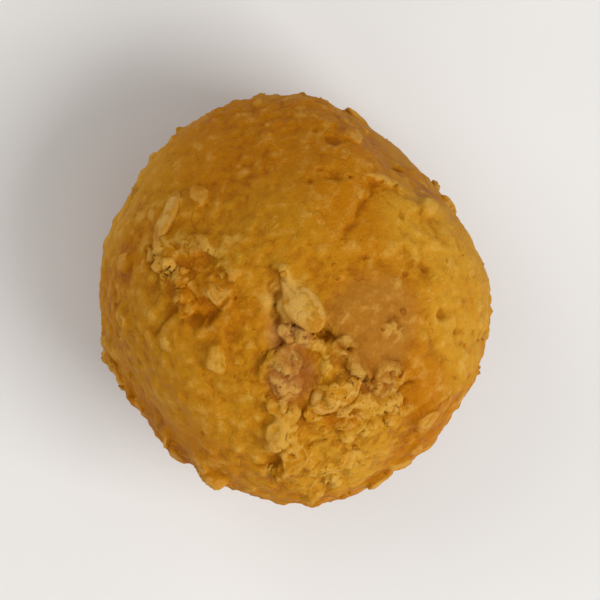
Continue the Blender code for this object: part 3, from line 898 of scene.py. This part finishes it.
def makeMass():
    chance = np.random.default_rng(11)
    mass = makeCore(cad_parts["ladoo"])
    palm = palmSurface(mass)
    breakLedges(mass, palm)
    flakes, flakePlacings = addFlakes(mass, chance)
    bits = addBits(mass, flakes, chance)
    pressMash(mass, palm)
    # plates, shelves, cracks and pits add painted light and shade to the tone; flakes and pale spots add paler mash
    paleness = breakPlates(mass)
    paleness += breakShelves(mass, chance)
    fillGaps(mass)
    paleness += carveCracks(mass) + carvePits(mass, chance)
    clearSeeds(mass)
    flattenFoot(mass)
    paleness += flakePaleness(mass, flakePlacings)
    points = coordinatesOf(mass)
    for bearing, down, halfWidth in paleSpots:
        away = np.linalg.norm(points - solidPoint(heading(bearing, down)), axis=1)
        paleness += 0.25 * (1 - smoothStep(away, 0.3 * halfWidth, halfWidth))
    return mass, bits, paleness


def paintMass(mass, bits, paleness):  # the ground colour, and the tone: how pale each bit is, with painted shade where bits meet and in hollows and valleys, and painted light on bumps
    places, sizes, tones = bits
    points, normals = coordinatesOf(mass), normalsOf(mass)
    tree = KDTree(len(places))
    for i, place in enumerate(places):
        tree.insert(place, i)
    tree.balance()
    own, seam, warmth = np.empty(len(points)), np.empty(len(points)), np.empty(len(points))
    bitWarmth = np.random.default_rng(5).normal(0, 1, len(places))
    for i, point in enumerate(points):
        near = sorted((distance / sizes[index][0], index) for _, index, distance in tree.find_n(point, 4))
        own[i] = tones[near[0][1]]
        warmth[i] = bitWarmth[near[0][1]]
        seam[i] = near[1][0] - near[0][0]
    loose = loosenessAt(points)
    hollow = np.sum((averagedOver(mass, points, 10) - points) * normals, axis=1) / (0.1 * mm)
    valley = np.sum((averagedOver(mass, points, 90) - points) * normals, axis=1) / (0.4 * mm)
    strength = (0.4 + 0.3 * loose) * (1 - 0.6 * smearAt(points))
    # darker where two bits meet: partly syrup, partly painted shade
    tone = 0.5 + (own - 0.5) * strength - 0.1 * (1 - smoothStep(seam, 0, 0.3)) * strength + paleness
    # painted shade in hollows and valleys, painted light on bumps
    tone -= np.clip(hollow, -0.6, 1.2) * 0.18 + np.clip(valley, -0.5, 1.5) * 0.1
    setAttribute(mass, "tone", tone)
    tint = np.column_stack((np.ones(len(points)), 1 + 0.05 * warmth * strength, 1 + 0.25 * warmth * strength))
    setColours(mass, "ground", np.clip(mashColourAt(points) * tint, 0, 1))
    print("mass painted, hollow %.2f to %.2f, valley %.2f to %.2f" % (hollow.min(), hollow.max(), valley.min(), valley.max()))


mass, mashedBits, massPaleness = makeMass()
paintMass(mass, mashedBits, massPaleness)
mass.data.materials.clear()
mass.data.materials.append(mashMaterial("mash"))
mass.data.shade_smooth()
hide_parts("ladoo")
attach(mass, "root")
print("mass shaped")


# Loose crumbs of boondi that cling to the mass

crumbLook = {
    "bits": {"count": 240, "apart": 1.2 * mm, "radius": (0.28 * mm, 0.6 * mm), "seed": 41},
    "dust": {"count": 1100, "apart": 0.4 * mm, "radius": (0.13 * mm, 0.26 * mm), "seed": 43},
    "usual": 0.02,  # how often they lie where the mash was pressed smooth, against 1 where it is loose
}


def makeCrumbs(name, look, ball):
    chance = np.random.default_rng(look["seed"])
    loose = loosenessAt(coordinatesOf(mass))
    weight = crumbLook["usual"] + (1 - crumbLook["usual"]) * loose ** 3
    places, facings = evenSpots(mass, look["count"], look["apart"], chance, weight)
    radius = look["radius"][0] + (look["radius"][1] - look["radius"][0]) * chance.random(len(places)) ** 1.6
    sizes = radius[:, None] * chance.uniform(0.6, 1.15, (len(places), 3))
    sunk = radius * chance.uniform(0.25, 0.75, len(places))
    axes = turnedTo(unit(facings + chance.normal(0, 0.4, facings.shape)), chance.uniform(0, 2 * math.pi, len(places)))
    made = laidBits(name, brokenShapes(10, ball, 10, 10, look["seed"]),
                    places - facings * sunk[:, None], axes, sizes, chance, chance.normal(0.5, 0.14, len(places)))
    points = coordinatesOf(made)
    points[:, 2] = np.maximum(points[:, 2], 0)
    moveVerticesTo(made, points)
    setColours(made, "ground", mashColourAt(points))
    made.data.materials.append(mass.data.materials[0])
    selectOnly(made)
    bpy.ops.object.shade_smooth_by_angle(angle=math.radians(38))
    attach(made, "root")
    print(name, len(places))


makeCrumbs("crumbs", crumbLook["bits"], unitBlock())
makeCrumbs("crumbDust", crumbLook["dust"], unitBall(1))

seeds = makeSeeds()
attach(seeds, "root")
print("seeds pressed in")


# The camera looks down on the ball from its upper left, as in the photo

cameraLook = {
    "standsAt": Vector((-52, 21, 385)) * mm,  # from the middle of the ball
    "ballShare": 0.70,  # of the picture's width
    "sensor": 36,
}


def addCamera():
    target = Vector(((lowCorner.x + highCorner.x) / 2, (lowCorner.y + highCorner.y) / 2, highCorner.z * 0.5))
    backward = cameraLook["standsAt"].normalized()
    rightward = Vector((0, 1, 0)).cross(backward).normalized()
    upward = backward.cross(rightward)
    made = bpy.data.cameras.new("camera")
    made.sensor_width = cameraLook["sensor"]
    seen = (highCorner.y - lowCorner.y) / cameraLook["ballShare"]
    made.lens = cameraLook["sensor"] * cameraLook["standsAt"].length / seen
    made.clip_start = 0.01
    camera = bpy.data.objects.new("camera", made)
    bpy.context.scene.collection.objects.link(camera)
    turned = Matrix((rightward, upward, backward)).transposed().to_4x4()
    camera.matrix_world = Matrix.Translation(target + cameraLook["standsAt"]) @ turned
    bpy.context.scene.camera = camera


# Floor and studio light

studio = {
    "floorSize": 4,
    "floorColour": shade(226, 224, 221),
    "skyColour": (1.0, 1.0, 1.0, 1),
    "sky": 0.42,
    "lights": (  # name, place from the ball's middle, size across, power in watts
        ("key", Vector((0.26, -0.14, 0.40)), 0.30, 1.7),
        ("fill", Vector((-0.34, 0.22, 0.32)), 0.35, 0.7),
        ("front", Vector((0.05, -0.45, 0.25)), 0.30, 0.4),
    ),
}


def addStudio():
    bpy.ops.object.select_all(action="DESELECT")
    bpy.ops.mesh.primitive_plane_add(size=studio["floorSize"], location=(0, 0, 0))
    floor = bpy.context.object
    floor.name = "floor"
    made, tree, shader = newMaterial("paleTable")
    place = shaderNode(tree, "TexCoord").outputs["Object"]
    cloudy = shaderNode(tree, "TexNoise", {"Vector": place, "Scale": 30.0, "Detail": 3}).outputs[0]
    colour = mixed(tree, ranged(tree, cloudy, 0.3, 0.7, 0, 0.5), rgba(studio["floorColour"]),
                   rgba(studio["floorColour"] * 0.97))
    tree.links.new(colour, shader.inputs["Base Color"])
    shader.inputs["Roughness"].default_value = 0.75
    floor.data.materials.append(made)
    world = bpy.data.worlds.new("studio")
    world.use_nodes = True
    world.node_tree.nodes["Background"].inputs["Color"].default_value = studio["skyColour"]
    world.node_tree.nodes["Background"].inputs["Strength"].default_value = studio["sky"]
    bpy.context.scene.world = world
    for name, place, across, power in studio["lights"]:
        lamp = bpy.data.lights.new(name, "AREA")
        lamp.size = across
        lamp.energy = power
        light = bpy.data.objects.new(name, lamp)
        bpy.context.scene.collection.objects.link(light)
        light.location = place + Vector(ballCentre)
        light.rotation_euler = place.to_track_quat("Z", "Y").to_euler()
    bpy.context.scene.view_settings.view_transform = "Standard"


addCamera()
addStudio()
print("camera and studio placed")
